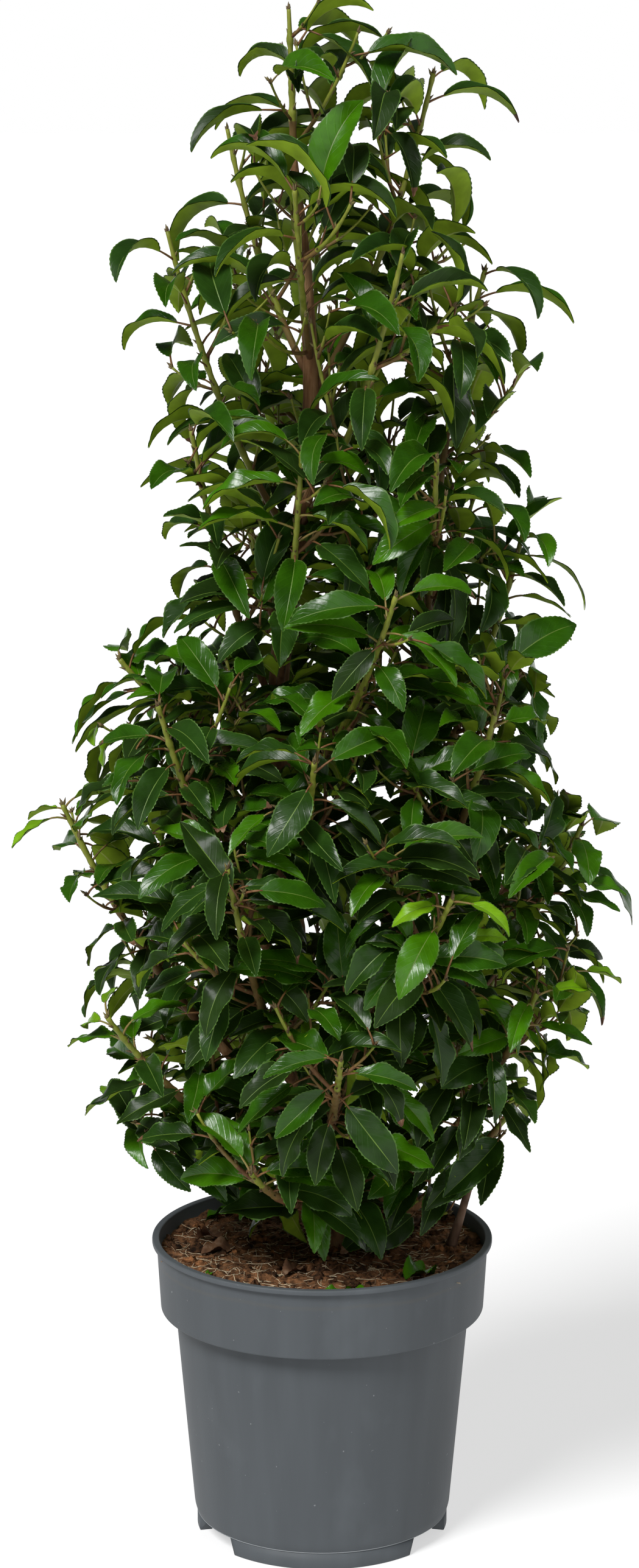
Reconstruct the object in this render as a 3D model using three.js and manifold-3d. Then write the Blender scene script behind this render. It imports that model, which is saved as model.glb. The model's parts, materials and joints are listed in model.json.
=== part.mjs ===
// A young Portuguese laurel, grown as a leafy cone, in its grey nursery pot.
// Millimetres, +Z up. The origin is on the pot's axis, at the ground under its feet.
// The plant faces -Y: +X is the right-hand side as seen, +Y the back.

import * as THREE from "three";
import { mergeVertices } from "three/addons/utils/BufferGeometryUtils.js";
import Module from "manifold-3d";

const wasm = await Module();
wasm.setup();

const UP = new THREE.Vector3(0, 0, 1);
const GOLDEN_ANGLE = Math.PI * (3 - Math.sqrt(5));

// Driving dimensions

const GAP = 0.3; // clearance between neighbouring solids

const POT = {
  height: 232,
  wall: 2.4,
  lip: { radius: 130, height: 4 },
  collar: { topRadius: 126.6, footRadius: 123.6, height: 55.6 },
  body: { topRadius: 112.6, baseRadius: 98.6, rounding: 5 },
  foot: { count: 3, height: 13, radius: 96.8, width: 10, gapAngle: 27, endSlope: 0.35 },
  segments: 32,
};

const SOIL_DROP = 10; // from the lip down to the soil
const GROUND = POT.height - SOIL_DROP;

// Courses are rows of height, x and y along the axis of a stem
const TRUNK = {
  course: [[GROUND + GAP, 4, 2], [450, -20, 4], [645, -33, 2], [840, -9, 0], [960, -12, 2], [1045, -21, 0]],
  radius: [11, 3],
  flare: { width: 5, height: 26 },
  sides: 10,
  rings: 16,
};
const RIGHT_STEM = {
  course: [[GROUND + GAP, 33, 8], [350, 36, 8], [540, 60, 14], [680, 76, 14], [770, 85, 10]],
  radius: [8.5, 4],
  flare: { width: 3, height: 18 },
  sides: 8,
  rings: 12,
};
const PRUNED_STUB = {
  course: [[GROUND + GAP, 99, 4], [246, 106, 2], [272, 113, 0]],
  radius: [3.6, 2.6],
  flare: { width: 0.8, height: 8 },
  sides: 6,
  rings: 4,
};

// Leading shoots stand in tiers. Each is listed by its azimuth, anticlockwise from the right-hand side.
// From one shoot of a tier to the next the tips step down by `fall`.
// The upper tiers spring straight from a stem, the lower ones are carried on boughs.
const UPPER_TIERS = [
  { name: "top", tip: 1104, fall: 40, reach: 80, fork: 885, azimuths: [4, 150, 256] },
  { name: "shoulder", tip: 992, fall: 11, reach: 112, fork: 775, azimuths: [181, 300, 92] },
  { name: "upper", tip: 852, fall: 9, reach: 104, fork: 665, azimuths: [205, 262, 322, 50, 128] },
  { name: "middle", tip: 780, fall: 34, reach: 150, fork: 570, azimuths: [2, 290, 95, 180] },
];
const LOWER_TIERS = [
  { name: "wide", tip: 664, fall: 8, reach: 165, fork: 455, azimuths: [225, 318, 40, 140, 268] },
  { name: "broad", tip: 568, fall: 8, reach: 194, fork: 340, azimuths: [180, 250, 0, 100, 298] },
  { name: "low", tip: 450, fall: 9, reach: 188, fork: 278, azimuths: [326, 38, 214, 274, 130] },
  { name: "skirt", tip: 345, fall: 10, reach: 150, fork: 248, azimuths: [355, 182, 250, 84] },
];
// The shoots that carry the stems on to their tips
const LEADERS = [
  { name: "leader", stem: "trunk", tip: new THREE.Vector3(-24, 0, 1149) },
  { name: "right_leader", stem: "right_stem", tip: new THREE.Vector3(118, 0, 964) },
];

const BOUGH = { radius: [4.8, 3.6], share: 0.38, sides: 5, rings: 3, forkStep: 13 };
const SHOOT = { radius: [3.6, 2.6], sides: 3, rings: 3 };
const TWIG = { count: 3, length: 88, angle: 52, lift: 0.35, radius: [2.8, 2.2], sides: 3, rings: 2 };
const LEAF = { length: 92, width: 48, keel: 3, sunk: 1, spacing: 10.5, widest: 0.45 };
const LEAF_TRIES = 10; // turns tried round the shoot before a leaf is skipped
const SEED = 755; // of the first mass; each next mass takes the next number

// The crown's limits: leaves stay over the pot and inside an outline of rows of height, reach to the left
// and reach to the right
const CROWN_FLOOR = POT.height + 5;
const CROWN_TOP = 1158;
const CROWN_OUTLINE = [
  [CROWN_FLOOR, 110, 118], [280, 145, 158], [310, 160, 182], [345, 190, 190], [385, 199, 212],
  [440, 184, 234], [485, 188, 239], [520, 230, 231], [555, 241, 226], [590, 180, 210], [640, 193, 199],
  [680, 166, 200], [720, 126, 214], [765, 116, 170], [800, 160, 198], [850, 128, 136], [890, 138, 184],
  [940, 171, 180], [980, 155, 132], [1015, 116, 122], [1050, 100, 140], [1080, 92, 149], [1120, 58, 118],
  [1140, 40, 52], [CROWN_TOP, 28, 34],
];
const CLEAR = 1; // kept between a leaf and any limb but its own

const COLOURS = {
  pot: 0x646a6c,
  soil: 0x3a2617,
  bark: 0x6b4a36,
  leaf: 0x2c5a22,
};

// Helpers

const degrees = THREE.MathUtils.degToRad;
const mix = THREE.MathUtils.lerp;

function seeded(seed) {
  let state = seed;
  return () => {
    state = (state + 0x6d2b79f5) | 0;
    let mixed = Math.imul(state ^ (state >>> 15), 1 | state);
    mixed = (mixed + Math.imul(mixed ^ (mixed >>> 7), 61 | mixed)) ^ mixed;
    return ((mixed ^ (mixed >>> 14)) >>> 0) / 4294967296;
  };
}

function spread(random, width) {
  return (random() - 0.5) * 2 * width;
}

// Value in a column of rows that are sorted by their first column
function interpolate(rows, at, column) {
  const last = rows.length - 1;
  if (at <= rows[0][0]) return rows[0][column];
  if (at >= rows[last][0]) return rows[last][column];
  const next = rows.findIndex(([position]) => position > at);
  const [low, high] = [rows[next - 1], rows[next]];
  return mix(low[column], high[column], (at - low[0]) / (high[0] - low[0]));
}

function solidOf(geometry) {
  const bare = new THREE.BufferGeometry();
  bare.setAttribute("position", geometry.getAttribute("position"));
  bare.setIndex(geometry.getIndex());
  const merged = mergeVertices(bare, 1e-4);
  const corners = merged.getIndex().array;
  const kept = [];
  for (let i = 0; i < corners.length; i += 3) {
    const [a, b, c] = corners.slice(i, i + 3);
    if (a !== b && b !== c && c !== a) kept.push(a, b, c);
  }
  const mesh = new wasm.Mesh({
    numProp: 3,
    vertProperties: merged.getAttribute("position").array,
    triVerts: new Uint32Array(kept),
  });
  return new wasm.Manifold(mesh);
}

// The largest body of a fused solid: loose scraps are dropped and sealed hollows filled.
function wholeOf(solid) {
  const bodies = solid.decompose();
  return bodies.reduce((best, body) => (body.volume() > best.volume() ? body : best));
}

function meshOf(name, solid, colour, roughness) {
  const { vertProperties, triVerts } = solid.getMesh();
  const geometry = new THREE.BufferGeometry();
  geometry.setAttribute("position", new THREE.BufferAttribute(vertProperties, 3));
  geometry.setIndex(new THREE.BufferAttribute(triVerts, 1));
  geometry.computeVertexNormals();
  const material = new THREE.MeshStandardMaterial({ color: colour, roughness, metalness: 0 });
  const mesh = new THREE.Mesh(geometry, material);
  mesh.name = name;
  return mesh;
}

function lathe(profile) {
  const points = profile.map(([radius, height]) => new THREE.Vector2(radius, height));
  const geometry = new THREE.LatheGeometry(points, POT.segments);
  geometry.rotateX(Math.PI / 2);
  return solidOf(geometry);
}

// Pot and soil

const COLLAR_FOOT = POT.height - POT.collar.height;
const COLLAR_TOP = POT.height - POT.lip.height;
const FLOOR = POT.foot.height + POT.wall;

// The inside of the pot from the middle of its floor to the mouth, drawn in by `inset`.
function insideProfile(inset, top) {
  const shrink = POT.wall + inset;
  return [
    [0, FLOOR + inset],
    [POT.body.baseRadius - shrink, FLOOR + inset],
    [POT.body.topRadius - shrink, COLLAR_FOOT + POT.wall + inset],
    [POT.collar.footRadius - shrink, COLLAR_FOOT + POT.wall + inset],
    [mix(POT.collar.footRadius, POT.collar.topRadius, (top - COLLAR_FOOT) / POT.collar.height) - shrink, top],
  ];
}

function potShell() {
  const { lip, collar, body, foot } = POT;
  const outside = [
    [0, foot.height],
    [foot.radius - foot.width, foot.height],
    [foot.radius - foot.width, 0],
    [foot.radius, 0],
    [foot.radius, foot.height],
    [body.baseRadius, foot.height + body.rounding],
    [body.topRadius, COLLAR_FOOT],
    [collar.footRadius - 1, COLLAR_FOOT],
    [collar.footRadius, COLLAR_FOOT + 1],
    [collar.topRadius, COLLAR_TOP],
    [lip.radius - 0.8, COLLAR_TOP],
    [lip.radius, COLLAR_TOP + 1],
    [lip.radius, POT.height - 1.2],
    [lip.radius - 1.2, POT.height],
  ];
  const inside = insideProfile(0, POT.height).reverse();
  return lathe([...outside, ...inside]);
}

// One of the gaps that part the foot ring into feet: a slot through the ring, wider at the ground.
function footGap(azimuth) {
  const { height, radius, width, gapAngle, endSlope } = POT.foot;
  const half = radius * Math.tan(degrees(gapAngle / 2));
  const below = 1;
  const slot = new THREE.Shape();
  slot.moveTo(-half, height);
  slot.lineTo(-half - endSlope * (height + below), -below);
  slot.lineTo(half + endSlope * (height + below), -below);
  slot.lineTo(half, height);
  slot.closePath();
  const geometry = new THREE.ExtrudeGeometry(slot, { depth: 2 * width, bevelEnabled: false });
  geometry.translate(0, 0, -radius - width / 2);
  geometry.rotateX(Math.PI / 2);
  geometry.rotateZ(azimuth - Math.PI / 2);
  return solidOf(geometry);
}

function potSolid() {
  let pot = potShell();
  for (let i = 0; i < POT.foot.count; i += 1) {
    const azimuth = Math.PI / 2 + (i * 2 * Math.PI) / POT.foot.count;
    pot = pot.subtract(footGap(azimuth));
  }
  return pot;
}

function soilSolid() {
  const profile = insideProfile(GAP, GROUND);
  return lathe([...profile, [0, GROUND]]);
}

// Limbs

// A round limb of changing radius; `frameAt` gives two directions across it at each point.
function limbSolid({ pointAt, radiusAt, frameAt, sides, rings }, extra = 0) {
  const geometry = new THREE.CylinderGeometry(1, 1, 1, sides, rings);
  const position = geometry.getAttribute("position");
  for (let i = 0; i < position.count; i += 1) {
    const along = position.getY(i) + 0.5;
    const radius = radiusAt(along) + extra;
    const [across, aside] = frameAt(along);
    const place = pointAt(along).clone();
    place.addScaledVector(across, position.getX(i) * radius);
    place.addScaledVector(aside, position.getZ(i) * radius);
    position.setXYZ(i, place.x, place.y, place.z);
  }
  return solidOf(geometry);
}

// An upright stem in level rings, so that its foot is a flat cut at the soil.
function uprightLimb({ course, radius, flare, sides, rings }) {
  const curve = new THREE.CatmullRomCurve3(course.map(([z, x, y]) => new THREE.Vector3(x, y, z)));
  const foot = course[0][0];
  const level = [new THREE.Vector3(1, 0, 0), new THREE.Vector3(0, -1, 0)];
  const pointAt = (along) => curve.getPoint(along);
  const radiusAt = (along) => {
    const rise = pointAt(along).z - foot;
    return mix(radius[0], radius[1], along) + flare.width * Math.exp(-rise / flare.height);
  };
  return { pointAt, radiusAt, frameAt: () => level, sides, rings };
}

function pointAtHeight(limb, height) {
  let [low, high] = [0, 1];
  for (let i = 0; i < 30; i += 1) {
    const middle = (low + high) / 2;
    if (limb.pointAt(middle).z < height) low = middle;
    else high = middle;
  }
  return limb.pointAt(low);
}

// A bent limb along part of a curve that lies in one upright plane, `side` being square to that plane.
function bentLimb(curve, side, [from, to], radius, { sides, rings }) {
  const courseAt = (along) => mix(from, to, along);
  const pointAt = (along) => curve.getPoint(courseAt(along));
  const tangentAt = (along) => curve.getTangent(courseAt(along));
  const frameAt = (along) => [side, new THREE.Vector3().crossVectors(side, tangentAt(along))];
  const radiusAt = (along) => mix(radius[0], radius[1], along);
  return { pointAt, radiusAt, frameAt, tangentAt, sides, rings };
}

// Crown layout

function sideName(azimuth) {
  const names = ["right", "back_right", "back", "back_left", "left", "front_left", "front", "front_right"];
  return names[Math.round((azimuth % 360) / 45) % names.length];
}

// The stem a leading shoot forks from: the right stem for what grows on that side, up to its tip.
function parentOf(azimuth, height, stems) {
  const onRight = Math.cos(degrees(azimuth)) > 0.6;
  const stemTop = RIGHT_STEM.course[RIGHT_STEM.course.length - 1][0];
  return onRight && height < stemTop ? stems.right_stem : stems.trunk;
}

// A shoot from its fork to its tip, turning up at a bend that lies `out` of the way across.
function shootCurve(fork, tip, out) {
  const bend = new THREE.Vector3(mix(fork.x, tip.x, out), mix(fork.y, tip.y, out), mix(fork.z, tip.z, 0.36));
  return new THREE.QuadraticBezierCurve3(fork, bend, tip);
}

function sideOf(direction) {
  const side = new THREE.Vector3().crossVectors(direction, UP);
  if (side.length() < 1e-3) side.set(0, 1, 0);
  return side.normalize();
}

function layOutShoots(stems) {
  const shoots = [];
  for (const tier of [...UPPER_TIERS, ...LOWER_TIERS]) {
    const onBough = LOWER_TIERS.includes(tier);
    tier.azimuths.forEach((azimuth, i) => {
      const angle = degrees(azimuth);
      const tipHeight = tier.tip - i * tier.fall;
      const forkHeight = tier.fork + (i - (tier.azimuths.length - 1) / 2) * BOUGH.forkStep;
      const parent = parentOf(azimuth, forkHeight, stems);
      const fork = pointAtHeight(parent, forkHeight);
      const tip = new THREE.Vector3(tier.reach * Math.cos(angle), tier.reach * Math.sin(angle), tipHeight);
      const curve = shootCurve(fork, tip, 0.62);
      const side = sideOf(new THREE.Vector3().subVectors(tip, fork));
      shoots.push({ name: `${tier.name}_${sideName(azimuth)}`, curve, side, parent, onBough });
    });
  }
  for (const { name, stem, tip } of LEADERS) {
    const top = stems[stem].pointAt(1);
    const rise = new THREE.Vector3().subVectors(tip, top);
    const curve = shootCurve(top.clone().addScaledVector(UP, GAP), tip, 0);
    shoots.push({ name, curve, side: sideOf(rise), parent: null, onBough: false });
  }
  return shoots;
}

// Foliage

// Corners of a leaf: the root, sunk in its shoot, the left and right edges, the keel of the folded rib and
// the tip. The blade arches over at its widest, with the keel inside the bend.
function leafCorners(root, heading, facing, { length, width, bend, keel }) {
  const left = new THREE.Vector3().crossVectors(facing, heading).normalize();
  const face = new THREE.Vector3().crossVectors(heading, left);
  const middle = root.clone().addScaledVector(heading, length * LEAF.widest);
  const turned = (angle) =>
    heading.clone().multiplyScalar(Math.cos(angle)).addScaledVector(face, -Math.sin(angle));
  const ahead = turned(bend);
  const under = turned(bend / 2 + degrees(90));
  return [
    root.clone().addScaledVector(heading, -LEAF.sunk),
    middle.clone().addScaledVector(left, width / 2),
    middle.clone().addScaledVector(left, -width / 2),
    middle.clone().addScaledVector(under, keel),
    middle.clone().addScaledVector(ahead, length * (1 - LEAF.widest)),
  ];
}

const LEAF_FACES = [[0, 2, 1], [1, 2, 4], [0, 1, 3], [0, 3, 2], [1, 4, 3], [3, 4, 2]];

function leafSolid(corners) {
  const geometry = new THREE.BufferGeometry().setFromPoints(corners);
  geometry.setIndex(LEAF_FACES.flat());
  return solidOf(geometry);
}

// How far the crown reaches at a point's height towards the side where it lies
function crownReach({ x, y, z }) {
  const rightward = (1 + x / Math.hypot(x, y)) / 2;
  return mix(interpolate(CROWN_OUTLINE, z, 1), interpolate(CROWN_OUTLINE, z, 2), rightward);
}

// Whether a point is nearer to a shoot's own centre than to any other's, and inside the crown.
function inOwnSpace(point, own, centres) {
  if (point.z < CROWN_FLOOR || point.z > CROWN_TOP) return false;
  if (Math.hypot(point.x, point.y) > crownReach(point)) return false;
  const reach = point.distanceToSquared(own);
  return centres.every((other) => {
    if (other === own) return true;
    const beyond = (point.distanceToSquared(other) - reach) / (2 * own.distanceTo(other));
    return beyond > GAP;
  });
}

function tangentFrame(tangent) {
  const side = sideOf(tangent);
  return [side, new THREE.Vector3().crossVectors(side, tangent)];
}

function turnedAside(tangent, azimuth, angle) {
  const [side, over] = tangentFrame(tangent);
  const out = side.multiplyScalar(Math.cos(azimuth)).addScaledVector(over, Math.sin(azimuth));
  return tangent.clone().multiplyScalar(Math.cos(angle)).addScaledVector(out, Math.sin(angle)).normalize();
}

function growTwigs(stem, random) {
  const twigs = [];
  const phase = random() * 2 * Math.PI;
  for (let i = 0; i < TWIG.count; i += 1) {
    const along = mix(0.08, 0.66, i / (TWIG.count - 1));
    const from = stem.pointAt(along);
    const angle = degrees(TWIG.angle + spread(random, 8));
    const heading = turnedAside(stem.tangentAt(along), phase + i * GOLDEN_ANGLE, angle);
    const length = TWIG.length * mix(1, 0.7, along);
    const bend = from.clone().addScaledVector(heading, length * 0.5);
    const tip = from.clone().addScaledVector(heading, length * 0.86).addScaledVector(UP, length * TWIG.lift);
    const curve = new THREE.QuadraticBezierCurve3(from, bend, tip);
    twigs.push(bentLimb(curve, sideOf(heading), [0, 1], TWIG.radius, TWIG));
  }
  return twigs;
}

function lengthOf(limb) {
  return limb.pointAt(0).distanceTo(limb.pointAt(0.5)) + limb.pointAt(0.5).distanceTo(limb.pointAt(1));
}

function growLeaf(limb, along, turn, random) {
  const tangent = limb.tangentAt(along);
  const heading = turnedAside(tangent, turn, degrees(mix(72, 54, along) + spread(random, 10)));
  const facing = UP.clone().addScaledVector(tangent, 0.5);
  const sway = new THREE.Vector3(spread(random, 0.35), spread(random, 0.35), 0);
  const size = mix(0.82, 1.06, random());
  const shape = {
    length: LEAF.length * size,
    width: LEAF.width * size,
    bend: degrees(74 + spread(random, 18)),
    keel: LEAF.keel * size,
  };
  return leafCorners(limb.pointAt(along), heading, facing.add(sway), shape);
}

// Adds leaves along a limb, each turned on by the golden angle, where they fit.
function growLeaves(limb, random, fits, leaves) {
  const count = Math.max(3, Math.round(lengthOf(limb) / LEAF.spacing));
  const phase = random() * 2 * Math.PI;
  for (let i = 0; i < count; i += 1) {
    const along = mix(0.14, 0.97, i / (count - 1));
    for (let attempt = 0; attempt < LEAF_TRIES; attempt += 1) {
      const turn = phase + i * GOLDEN_ANGLE + (attempt * 2 * Math.PI) / LEAF_TRIES;
      const corners = growLeaf(limb, along, turn, random);
      const solid = leafSolid(corners);
      if (fits(corners, solid)) {
        leaves.push(solid);
        break;
      }
    }
  }
}

function limbCorners(limb) {
  return [0, 0.5, 1].map((along) => limb.pointAt(along));
}

function foliageSolid(shoot, seed, centres, guards) {
  const random = seeded(seed);
  const others = guards.filter(({ owner }) => owner !== shoot).map(({ solid }) => solid);
  const isInside = (points) => points.every((point) => inOwnSpace(point, shoot.centre, centres));
  const touchesNone = (solid, solids) => solids.every((other) => solid.intersect(other).isEmpty());

  const limbs = [{ limb: shoot.stem, solid: limbSolid(shoot.stem) }];
  for (const twig of growTwigs(shoot.stem, random)) {
    const solid = limbSolid(twig);
    const apart = limbs.slice(1).map((placed) => placed.solid);
    if (!isInside(limbCorners(twig))) continue;
    if (touchesNone(solid, [...others, ...apart])) limbs.push({ limb: twig, solid });
  }

  const leaves = [];
  for (const { limb, solid: own } of limbs) {
    const apart = limbs.map(({ solid }) => solid).filter((solid) => solid !== own);
    const fits = (corners, leaf) =>
      isInside(corners.slice(1)) && touchesNone(leaf, [...leaves, ...apart, ...others]);
    growLeaves(limb, random, fits, leaves);
  }

  let mass = wasm.Manifold.union([...limbs.map(({ solid }) => solid), ...leaves]);
  if (shoot.parent && !shoot.onBough) mass = mass.subtract(limbSolid(shoot.parent, GAP));
  return wholeOf(mass);
}

// Assembly

function addCrown(group, stems) {
  const shoots = layOutShoots(stems);
  const guards = Object.values(stems).map((stem) => ({ owner: stem, solid: limbSolid(stem, CLEAR) }));

  for (const shoot of shoots) {
    const gapShare = GAP / shoot.curve.getLength();
    const from = shoot.onBough ? BOUGH.share + gapShare : 0;
    const thickness = shoot.onBough ? [BOUGH.radius[1], SHOOT.radius[1]] : SHOOT.radius;
    shoot.stem = bentLimb(shoot.curve, shoot.side, [from, 1], thickness, SHOOT);
    shoot.centre = shoot.stem.pointAt(0.7);
    guards.push({ owner: shoot, solid: limbSolid(shoot.stem, CLEAR) });
    if (!shoot.onBough) continue;
    const bough = bentLimb(shoot.curve, shoot.side, [0, BOUGH.share], BOUGH.radius, BOUGH);
    const solid = wholeOf(limbSolid(bough).subtract(limbSolid(shoot.parent, GAP)));
    guards.push({ owner: bough, solid: limbSolid(bough, CLEAR) });
    group.add(meshOf(`bough_${shoot.name}`, solid, COLOURS.bark, 0.8));
  }

  const centres = shoots.map(({ centre }) => centre);
  shoots.forEach((shoot, i) => {
    const solid = foliageSolid(shoot, SEED + i, centres, guards);
    group.add(meshOf(`foliage_${shoot.name}`, solid, COLOURS.leaf, 0.45));
  });
}

function buildPlant() {
  const group = new THREE.Group();
  group.name = "potted_laurel";
  group.add(meshOf("pot", potSolid(), COLOURS.pot, 0.55));
  group.add(meshOf("soil", soilSolid(), COLOURS.soil, 0.95));

  const stems = {
    trunk: uprightLimb(TRUNK),
    right_stem: uprightLimb(RIGHT_STEM),
    pruned_stub: uprightLimb(PRUNED_STUB),
  };
  for (const [name, stem] of Object.entries(stems)) {
    group.add(meshOf(name, limbSolid(stem), COLOURS.bark, 0.8));
  }
  addCrown(group, stems);
  return group;
}

export default buildPlant();
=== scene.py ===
"""Looks of a young Portuguese laurel in its nursery pot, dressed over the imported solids.

The limbs and the sprays of leaves grow by the same seeded rule as the solids, carried on to finer twigs.
Sizes are in millimetres and become metres where a mesh is made. The front of the plant faces -Y.
"""

import json
import math
from collections import namedtuple
from itertools import product

import bpy
import numpy as np
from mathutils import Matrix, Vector, noise

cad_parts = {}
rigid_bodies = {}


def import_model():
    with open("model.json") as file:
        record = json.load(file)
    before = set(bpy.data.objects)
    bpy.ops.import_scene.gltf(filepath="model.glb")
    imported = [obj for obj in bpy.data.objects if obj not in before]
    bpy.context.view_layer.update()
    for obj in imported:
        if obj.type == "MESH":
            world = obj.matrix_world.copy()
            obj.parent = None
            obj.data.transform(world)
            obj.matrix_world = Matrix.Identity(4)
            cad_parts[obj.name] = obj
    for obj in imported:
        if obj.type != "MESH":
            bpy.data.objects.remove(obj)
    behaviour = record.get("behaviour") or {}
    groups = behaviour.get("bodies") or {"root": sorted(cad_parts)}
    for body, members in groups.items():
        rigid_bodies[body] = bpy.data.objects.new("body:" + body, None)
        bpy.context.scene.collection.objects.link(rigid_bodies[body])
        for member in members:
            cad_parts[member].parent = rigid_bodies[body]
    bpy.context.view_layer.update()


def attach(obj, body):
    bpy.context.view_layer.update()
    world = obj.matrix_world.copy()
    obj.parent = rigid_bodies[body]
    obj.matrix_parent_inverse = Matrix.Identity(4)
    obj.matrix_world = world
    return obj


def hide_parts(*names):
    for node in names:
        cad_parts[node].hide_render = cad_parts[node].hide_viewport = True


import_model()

MM = 0.001
UP = np.array([0.0, 0.0, 1.0])
FULL_TURN = 2 * math.pi
GOLDEN_ANGLE = math.pi * (3 - math.sqrt(5))

# Sizes of the pot and the soil

POT_HEIGHT = 232.0
POT_WALL = 2.4
LIP_RADIUS = 130.0
LIP_HEIGHT = 4.0
COLLAR_TOP_RADIUS = 126.6
COLLAR_FOOT_RADIUS = 123.6
COLLAR_HEIGHT = 55.6
BODY_TOP_RADIUS = 112.6
BODY_BASE_RADIUS = 98.6
BASE_RISE = 5.0
FOOT_COUNT = 3
FOOT_HEIGHT = 13.0
FOOT_RADIUS = 96.8
FOOT_WIDTH = 10.0
FOOT_GAP_ANGLE = 27.0
FOOT_END_SLOPE = 0.35
FOOT_RINGS = 48
BEAD_RADIUS = 0.4
POT_SEGMENTS = 192
INSIDE_RADIUS = COLLAR_TOP_RADIUS - POT_WALL
GROUND = 222.0
INSIDE_FLOOR = GROUND - 20
MOUND_HEIGHT = 3.0
MOUND_RADIUS = 60
SOIL_SINK = 1.5
SOIL_NOISES = [(3.2, 0.022, 3.1), (3.8, 0.075, 8.4), (1.8, 0.26, 1.7)]  # height, pitch and seed
SOIL_GRID = (70, 200)
CRUMB_COUNT = 620
CRUMB_SIZE = (0.8, 5.5)
CRUMB_ROUGHNESS = 0.5
CRUMB_STRETCH = (0.7, 1.4)
FIBRE_COUNT = 800
FIBRE_LENGTH = (5, 26)
FIBRE_RADII = np.linspace(0.34, 0.2, 6)
FIBRE_CURVE = 0.9
FIBRE_TILT = 0.18
ROOT_SHARE = 0.4
FALLEN_LEAVES = {
    "dry": [
        (-92, -16, 0.4, 34, 17, 0.5), (-78, 6, 2.2, 30, 15, 0.7), (-28, -72, 1.1, 36, 15, 0.9),
        (40, 88, 0.2, 38, 17, 0.6), (82, 52, 4.0, 33, 15, 0.5), (-46, 92, 5.1, 35, 16, 0.8),
    ],
    "green": [
        (-2, -116, 0.5, 22, 10, 0.4), (-86, -72, 1.2, 9, 5, 0.3), (62, -84, 1.0, 46, 22, 0.8),
        (36, -104, 2.7, 26, 10, 0.5), (-70, 80, 3.6, 28, 12, 0.6),
    ],
}  # x, y, heading, length, width and bend

# Sizes of the plant, as in its solids

GAP = 0.3
TRUNK = [
    (GROUND + GAP, 4, 2), (450, -20, 4), (645, -33, 2), (840, -9, 0), (960, -12, 2), (1045, -21, 0)
]  # height, x and y
RIGHT_STEM = [(GROUND + GAP, 33, 8), (350, 36, 8), (540, 60, 14), (680, 76, 14), (770, 85, 10)]
PRUNED_STUB = [(GROUND + GAP, 99, 4), (246, 106, 2), (272, 113, 0)]
STEMS = {
    "trunk": (TRUNK, (11.0, 3.0), (5.0, 26.0), (230, 26)),
    "right_stem": (RIGHT_STEM, (8.5, 4.0), (3.0, 18.0), (160, 22)),
    "pruned_stub": (PRUNED_STUB, (3.6, 2.6), (0.8, 8.0), (26, 14)),
}  # course, radius from foot to tip, width and height of the flare, and rings and sides of the bark
UPPER_TIERS = [
    ("top", 1104, 40, 80, 885, (4, 150, 256)),
    ("shoulder", 992, 11, 112, 775, (181, 300, 92)),
    ("upper", 852, 9, 104, 665, (205, 262, 322, 50, 128)),
    ("middle", 780, 34, 150, 570, (2, 290, 95, 180)),
]  # name, height of the first tip, fall from tip to tip, reach, height of the forks and azimuths
LOWER_TIERS = [
    ("wide", 664, 8, 165, 455, (225, 318, 40, 140, 268)),
    ("broad", 568, 8, 194, 340, (180, 250, 0, 100, 298)),
    ("low", 450, 9, 188, 278, (326, 38, 214, 274, 130)),
    ("skirt", 345, 10, 150, 248, (355, 182, 250, 84)),
]  # the same, on boughs
LEADERS = [("leader", "trunk", (-24, 0, 1149)), ("right_leader", "right_stem", (118, 0, 964))]
SIDE_NAMES = ("right", "back_right", "back", "back_left", "left", "front_left", "front", "front_right")
SIDE_ANGLE = 360 / len(SIDE_NAMES)
RIGHTWARD = 0.6  # cosine of the azimuths that the right stem feeds
ZONES = {
    "top": ("leader", "top", "shoulder"),
    "upper": ("right_leader", "upper", "middle"),
    "wide": ("wide", "broad"),
    "low": ("low", "skirt"),
}
BROWN_SHARES = {"top": (0.1, 0.3), "upper": (0.2, 0.45), "wide": (0.3, 0.6), "low": (0.35, 0.7)}
BOUGH_RADIUS = (4.8, 3.6)
BOUGH_SHARE = 0.38
BOUGH_GRID = (44, 14)
BOUGH_JOINT = 6.0
BOUGH_SWELLING = 0.5
BARK_SEED = 7.3  # from limb to limb
FORK_STEP = 13.0
SHOOT_RADIUS = (2.9, 1.5)
SHOOT_BEND = 0.62  # how far out a shoot goes before it rises
SHOOT_RISE = 0.36
SHOOT_CENTRE = 0.7
SEED = 755

# Twigs: how many, the stretch of a limb where they stand, their length, slant, lift to the light and radius

TWIG = (3, (0.08, 0.66), 88.0, 52.0, 0.35, (1.6, 1.0))
SIDE_TWIG = (2, (0.3, 0.75), 52.0, 46.0, 0.3, (1.2, 0.8))
SPUR = (3, (0.3, 0.84), 46.0, 56.0, 0.25, (1.2, 0.8))
BOUGH_SPUR = (3, (0.35, 0.95), 46.0, 56.0, 0.25, (1.2, 0.8))
FOOT_SPUR = (6, (0.02, 0.09), 64.0, 66.0, 0.1, (1.2, 0.8))
SLANT_SPREAD = 8.0
LAST_TWIG = 0.7  # length of a twig at the tip of a limb, against one at its foot
TWIG_JOINT = 3.0
TWIG_BEND = 0.5
TWIG_OUT = 0.86
TWIG_MESHES = {
    "shoots": (64, 8, 0.55), "twigs": (20, 6, 0.4), "fine_twigs": (13, 5, 0.35)
}  # rings, sides and swelling at a joint
TIP_BUDS = (6.5, 5.0, 4.0)
TIP_BUD_SLANT = 9.0
SIDE_BUD = 4.2
SIDE_BUD_RISE = 1.5  # above its leaf
SIDE_BUD_SLANT = 38.0
BUD_SHAPE = [(0.0, 0.8), (0.45, 1.05), (1.0, 0.12)]  # share of the length and radius

# Space of the crown

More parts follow.
